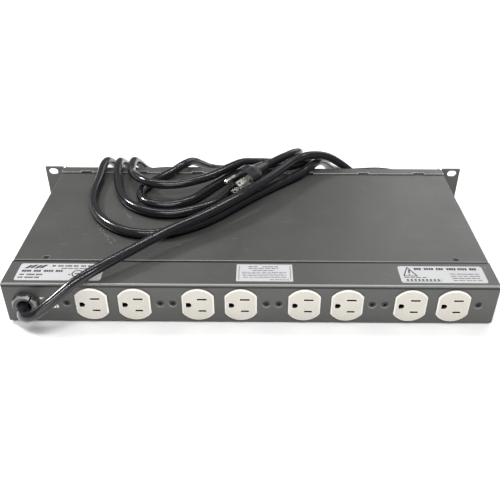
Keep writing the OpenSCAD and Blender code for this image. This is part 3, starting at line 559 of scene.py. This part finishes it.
def flat_piece(name, outlines, at, mat, thick=INK_T, upright=False):
    """Thin raised shapes. at(u, v) gives the place of an outline's point in the frame.

    They rise to +Z, or to -Y if upright.
    """
    bm = bmesh.new()
    lift = Vector((0, -thick, 0)) if upright else Vector((0, 0, thick))
    for outline in outlines:
        low = [bm.verts.new(at(*p)) for p in outline]
        high = [bm.verts.new(Vector(at(*p)) + lift) for p in outline]
        n = len(outline)
        bm.faces.new(high)
        bm.faces.new(list(reversed(low)))
        for k in range(n):
            bm.faces.new((low[k], low[(k + 1) % n], high[(k + 1) % n], high[k]))
    bmesh.ops.recalc_face_normals(bm, faces=bm.faces)
    mesh = bpy.data.meshes.new(name)
    bm.to_mesh(mesh)
    bm.free()
    mesh.materials.append(mat)
    obj = link(bpy.data.objects.new(name, mesh))
    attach(obj, "strip")


def bar(x0, x1, y, h, lean=0.0):
    """A bar of height h centred on y, whose top leans over by lean, in mm."""
    low, high = y - h / 2, y + h / 2
    return [(x0, low), (x1, low), (x1 + lean, high), (x0 + lean, high)]


def words(x0, x1, y, h, seed, longest=6.0, letter=0.0):
    """A line of print as bars of uneven length, in mm.

    With letter, each bar is cut into short ones, that far apart.
    """
    draw = random.Random(seed)
    out = []
    x = x0
    while x < x1 - 1:
        end = min(x1, x + draw.uniform(longest / 2, longest))
        if letter:
            k = x
            while k + letter * 0.6 <= end:
                end_k = k + letter * draw.uniform(0.76, 0.9)
                out.append(bar(k, end_k, y, h * draw.uniform(0.85, 1)))
                k += letter
        else:
            out.append(bar(x, end, y, h))
        x = end + h * 0.55
    return out


def ring(cx, cy, rx, ry, w):
    """A flat ring of width w as a run of small quads."""
    out = []
    for k in range(RING_PARTS):
        a, b = (2 * math.pi * turn / RING_PARTS for turn in (k, k + RING_LAP))
        out.append([
            (cx + rx * math.cos(a), cy + ry * math.sin(a)),
            (cx + rx * math.cos(b), cy + ry * math.sin(b)),
            (cx + (rx - w) * math.cos(b), cy + (ry - w) * math.sin(b)),
            (cx + (rx - w) * math.cos(a), cy + (ry - w) * math.sin(a)),
        ])
    return out


def stroke(a, b, w):
    """A straight line of width w from a to b."""
    d = Vector(b) - Vector(a)
    side = Vector((-d.y, d.x)).normalized() * w / 2
    a, b = Vector(a), Vector(b)
    return [tuple(a + side), tuple(b + side), tuple(b - side), tuple(a - side)]


def on_label(node):
    """Places marks given in mm from the label's near left corner."""
    low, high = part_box(node)

    def at(x, y):
        return (low[0] + x * MM, low[1] + y * MM, high[2] + LIFT)

    return at


at = on_label("rating_label")
flat_piece("rating_marks", (
    [bar(4.4 + 4.4 * k, 7.6 + 4.4 * k, 20.8 + 0.6 * (k % 2), 5.2, 4.2) for k in range(4)]
    + words(29, 64, 22.4, 2.4, 1, 7, 1.6)
    + words(3.5, 40, 14.4, 3.4, 2, 9, 2.2)
    + words(3, 25, 8.8, 2.2, 3, 8, 1.5)
    + words(2.6, 22, 4.4, 2.2, 4, 8, 1.5)
    + ring(54, 10.5, 5, 5.4, 1.1)
    + [bar(51.6, 56.4, 10.5, 1.2), bar(46.5, 48, 9, 1.6)]
), at, ink)
flat_piece("rating_small_marks", words(38, 64, 18.4, 1.6, 5, 6, 1.3), at, pale_ink)

at = on_label("approval_label")
flat_piece("approval_marks", (
    words(11, 20.5, 22.6, 1.4, 11, 5, 1.2) + words(23.5, 38, 22.6, 1.4, 12, 6, 1.2)
    + words(11, 38, 19.8, 1.2, 13, 6, 1.2) + words(14.5, 35, 16.8, 1.2, 14, 6, 1.2)
    + words(30, 48, 2.4, 1.1, 15, 4, 1.2)
    + [stroke((2.4, 2.5), (2.4, 24), 0.5), stroke((48.4, 3.6), (48.4, 24), 0.5)]
    + [p for k in range(4)
       for p in words(5 + 0.4 * k, 45, 13.8 - 2.6 * k, 0.9, 16 + k, 6, 1.1)]
), at, pale_ink)

at = on_label("caution_label")
flat_piece("caution_marks", (
    [stroke((3.6, 10.4), (8.6, 23.8), 1.0), stroke((8.6, 23.8), (15.4, 10.4), 1.0),
     stroke((3.6, 10.4), (15.4, 10.4), 0.8),
     bar(8.4, 9.8, 17.4, 5.0, 0.6), bar(8.2, 9.6, 12.8, 1.4)]
    + words(14.5, 74, 21.4, 3.6, 21, 12, 2.2)
), at, ink)
flat_piece("caution_small_marks", (
    [p for k in range(4)
     for p in words(45 + 0.5 * k, 72, 13.6 - 3.3 * k, 1.2, 22 + k, 6, 1.3)]
    + words(3.5, 24, 8.2, 1.4, 27, 6, 1.2)
    + [bar(5 + 3.4 * k, 6.9 + 3.4 * k, 4.2, 3.0) for k in range(9)]
    + [stroke((3.6, 2.0), (35, 2.0), 0.35), stroke((35, 2.0), (36.4, 5.8), 0.35)]
), at, pale_ink)

# small white print on the outlet panel beside the cord
rear_face_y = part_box("rear_panel")[0][1]
flat_piece("panel_marks", (
    [bar(-187, -185, 27, 2.0), bar(-184.4, -183.6, 27.5, 1.0)]
    + [bar(-180.6 + 2.4 * k, -178.9 + 2.4 * k, 17.4 + 0.2 * k, 3.0) for k in range(4)]
    + [bar(-175.4, -172.6, 22.2, 1.4)]
), lambda x, z: (x * MM, rear_face_y - LIFT, z * MM), white_plastic, PANEL_INK_T, True)

# ---- floor and light ----

FLOOR = 6  # half the floor's side
WORLD_STRENGTH = 0.28

corners = [(-FLOOR, -FLOOR, 0), (FLOOR, -FLOOR, 0), (FLOOR, FLOOR, 0), (-FLOOR, FLOOR, 0)]
floor_data = bpy.data.meshes.new("floor")
floor_data.from_pydata(corners, [], [(0, 1, 2, 3)])
floor = link(bpy.data.objects.new("floor", floor_data))
floor_mat = Mat("floor_paper", (0.92, 0.92, 0.92), 0.85)
floor_mat.shade(floor_mat.noise(3, 2), 0.99, 1.01)
floor.data.materials.append(floor_mat.done())


def area_light(name, place, target, size, power, size_y=None):
    """A square or oblong lamp at place that faces target, with its power in watts."""
    data = bpy.data.lights.new(name, "AREA")
    data.energy = power
    data.shape = "RECTANGLE"
    data.size = size
    data.size_y = size_y or size
    obj = link(bpy.data.objects.new(name, data))
    obj.location = place
    aim = Vector(target) - Vector(place)
    obj.rotation_euler = aim.to_track_quat("-Z", "Y").to_euler()


world = bpy.data.worlds.new("studio")
world.use_nodes = True
sky = world.node_tree.nodes["Background"].inputs
sky["Color"].default_value = (1, 1, 1, 1)
sky["Strength"].default_value = WORLD_STRENGTH
bpy.context.scene.world = world
area_light("key", (-1.7, 0.9, 1.5), (0, 0, 0), 0.24, 44)
area_light("back_right", (0.85, 1.35, 0.8), (0.15, 0, 0), 1.0, 4)
area_light("strip_back", (0.1, 0.5, 1.3), (0, 0, 0.04), 1.8, 10, 0.06)
area_light("strip_above", (0.1, -0.75, 1.3), (0, -0.05, 0.04), 1.6, 16, 0.08)
area_light("front_fill", (0.2, -1.6, 0.55), (0, -0.1, 0.02), 1.2, 10)
bpy.context.scene.view_settings.view_transform = "Standard"

bpy.context.view_layer.update()
